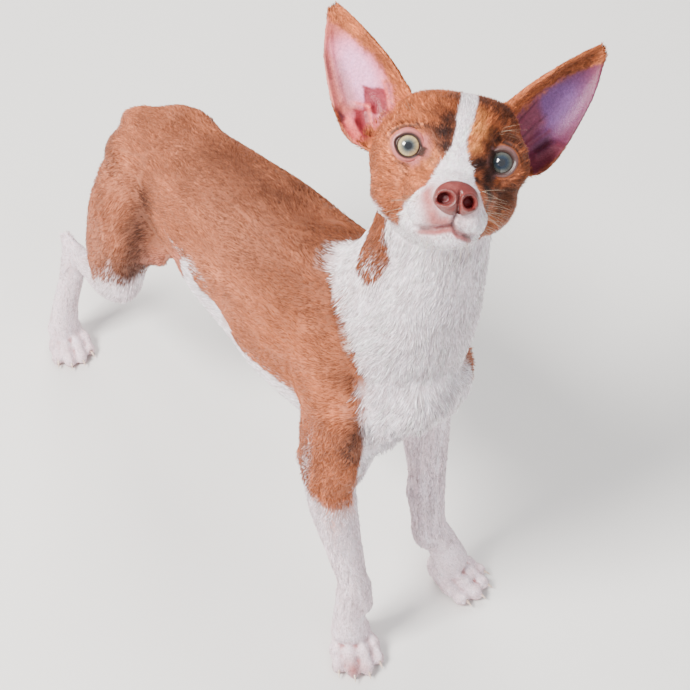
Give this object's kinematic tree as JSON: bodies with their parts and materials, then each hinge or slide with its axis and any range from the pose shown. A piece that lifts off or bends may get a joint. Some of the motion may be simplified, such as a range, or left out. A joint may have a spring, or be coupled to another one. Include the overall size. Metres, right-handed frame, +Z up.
{
  "type": "chihuahua figure",
  "caption": "Life-size smooth-coated chihuahua, standing on all fours with head turned and raised, ears upright and tail hanging.",
  "frame": {"origin": "on the ground, at the middle of the base of the box round the whole animal", "axes": "+X to the dog's left, -Y the way its body faces, +Z up"},
  "size_m": [0.1522, 0.3788, 0.3678],
  "materials": {
    "brown_coat": "short smooth fur",
    "white_coat": "short smooth fur",
    "ear_skin": "thin bare skin",
    "nose_leather": "moist, fine grained",
    "eye_gloss": "wet gloss",
    "claw_horn": "satin horn"
  },
  "bodies": {
    "root": {"claw_front_left_1": "claw_horn", "claw_front_left_2": "claw_horn", "claw_front_left_3": "claw_horn", "claw_front_left_4": "claw_horn", "claw_front_right_1": "claw_horn", "claw_front_right_2": "claw_horn", "claw_front_right_3": "claw_horn", "claw_front_right_4": "claw_horn", "claw_hind_left_1": "claw_horn", "claw_hind_left_2": "claw_horn", "claw_hind_left_3": "claw_horn", "claw_hind_left_4": "claw_horn", "claw_hind_right_1": "claw_horn", "claw_hind_right_2": "claw_horn", "claw_hind_right_3": "claw_horn", "claw_hind_right_4": "claw_horn", "ear_left": "ear_skin", "ear_right": "ear_skin", "eye_left": "eye_gloss", "eye_right": "eye_gloss", "forearm_left": "white_coat", "forearm_right": "white_coat", "front_paw_left": "white_coat", "front_paw_right": "white_coat", "head": "brown_coat", "hind_paw_left": "white_coat", "hind_paw_right": "white_coat", "metatarsus_left": "white_coat", "metatarsus_right": "white_coat", "neck": "brown_coat", "nose": "nose_leather", "shank_left": "brown_coat", "shank_right": "brown_coat", "tail": "brown_coat", "thigh_left": "brown_coat", "thigh_right": "brown_coat", "torso": "brown_coat", "upper_arm_left": "brown_coat", "upper_arm_right": "brown_coat"}
  },
  "joints": []
}
